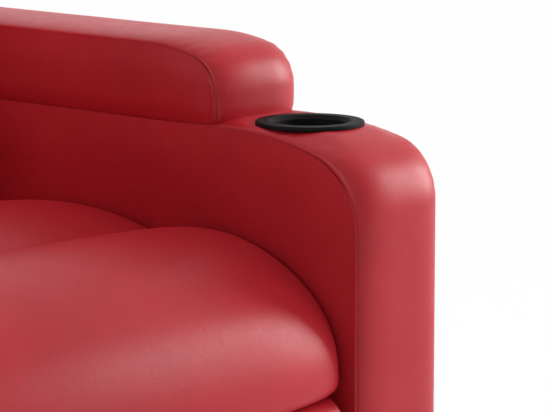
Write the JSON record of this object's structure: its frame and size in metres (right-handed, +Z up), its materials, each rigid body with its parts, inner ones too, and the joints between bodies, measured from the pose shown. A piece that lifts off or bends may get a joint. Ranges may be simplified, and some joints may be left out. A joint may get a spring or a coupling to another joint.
{
  "type": "massage recliner",
  "caption": "Padded reclining armchair with cup holders in the arms, a lever-driven scissor footrest, a tilting back and vibration motors behind its cushions.",
  "frame": {"origin": "on the floor under the middle of the chair", "axes": "+Z up, the sitter faces -Y and has +X on the left"},
  "size_m": [0.756, 0.876, 1.0555],
  "materials": {
    "red_upholstery": "satin",
    "cup_plastic": "gloss",
    "black_plastic": "matte",
    "frame_wood": "raw",
    "hardboard": "matte",
    "black_steel": "satin",
    "zinc_steel": "satin",
    "weight_brass": "satin",
    "webbing": "matte"
  },
  "bodies": {
    "base": {"back_pivot_pins": "zinc_steel", "control_box": "black_plastic", "control_box_lid": "black_plastic", "feet": "black_plastic", "front_rail": "frame_wood", "left_arm_cover": "red_upholstery", "left_arm_frame": "frame_wood", "left_arm_pad": "red_upholstery", "left_cup_holder": "cup_plastic", "left_side_plate": "black_steel", "mechanism_bolts": "zinc_steel", "power_socket": "black_plastic", "rear_panel": "hardboard", "rear_rail": "frame_wood", "right_arm_cover": "red_upholstery", "right_arm_frame": "frame_wood", "right_arm_pad": "red_upholstery", "right_cup_holder": "cup_plastic", "right_side_plate": "black_steel", "seat_cushion": "red_upholstery", "seat_frame": "frame_wood", "seat_webbing": "webbing", "shaft_bushes": "black_plastic"},
    "drive": {"drive_tube": "black_steel", "release_lever": "black_plastic", "left_drive_link": "black_steel", "right_drive_link": "black_steel"},
    "cross": {"left_cross_link": "black_steel", "right_cross_link": "black_steel", "cross_tube": "black_steel", "cross_pins": "zinc_steel"},
    "short": {"left_short_link": "black_steel", "right_short_link": "black_steel", "short_link_pins": "zinc_steel"},
    "footrest": {"left_footrest_bracket": "black_steel", "right_footrest_bracket": "black_steel", "footrest_pins": "zinc_steel", "footrest_board": "frame_wood", "footrest_pad": "red_upholstery"},
    "back": {"back_frame": "frame_wood", "back_panel": "hardboard", "back_cover": "red_upholstery", "left_back_bracket": "black_steel", "right_back_bracket": "black_steel", "back_bolts": "zinc_steel", "lumbar_cushion": "red_upholstery", "middle_cushion": "red_upholstery", "head_cushion": "red_upholstery", "motor_housings": "black_plastic", "vibration_motors": "zinc_steel"},
    "lumbar_left_weight": {"lumbar_left_weight": "weight_brass"},
    "lumbar_right_weight": {"lumbar_right_weight": "weight_brass"},
    "upper_left_weight": {"upper_left_weight": "weight_brass"},
    "upper_right_weight": {"upper_right_weight": "weight_brass"}
  },
  "joints": [
    {"name": "footrest_drive", "type": "hinge", "parent": "base", "child": "drive", "pos_m": [0, -0.26623, 0.33], "axis": [-1, 0, 0], "range_deg": [0, 74]},
    {"name": "cross_pivot", "type": "hinge", "parent": "drive", "child": "cross", "pos_m": [0, -0.28207, 0.20097], "axis": [-1, 0, 0], "range_deg": [-149, 1]},
    {"name": "short_pivot", "type": "hinge", "parent": "drive", "child": "short", "pos_m": [0, -0.29791, 0.07194], "axis": [-1, 0, 0], "range_deg": [-149, 1]},
    {"name": "footrest_hinge", "type": "hinge", "parent": "cross", "child": "footrest", "pos_m": [0, -0.29791, 0.33], "axis": [-1, 0, 0], "range_deg": [-1, 149]},
    {"name": "back_recline", "type": "hinge", "parent": "base", "child": "back", "pos_m": [0, 0.21409, 0.4], "axis": [-1, 0, 0], "range_deg": [0, 40]},
    {"name": "lumbar_left_weight_spin", "type": "hinge", "parent": "back", "child": "lumbar_left_weight", "pos_m": [0, 0.2238, 0.56991], "axis": [1, 0, 0], "continuous": true},
    {"name": "lumbar_right_weight_spin", "type": "hinge", "parent": "back", "child": "lumbar_right_weight", "pos_m": [0, 0.2238, 0.56991], "axis": [1, 0, 0], "continuous": true},
    {"name": "upper_left_weight_spin", "type": "hinge", "parent": "back", "child": "upper_left_weight", "pos_m": [0, 0.28692, 0.79004], "axis": [1, 0, 0], "continuous": true},
    {"name": "upper_right_weight_spin", "type": "hinge", "parent": "back", "child": "upper_right_weight", "pos_m": [0, 0.28692, 0.79004], "axis": [1, 0, 0], "continuous": true}
  ],
  "couplings": [
    {"joint": "cross_pivot", "follows": "footrest_drive", "ratio": -2},
    {"joint": "short_pivot", "follows": "footrest_drive", "ratio": -2},
    {"joint": "footrest_hinge", "follows": "footrest_drive", "ratio": 2}
  ]
}
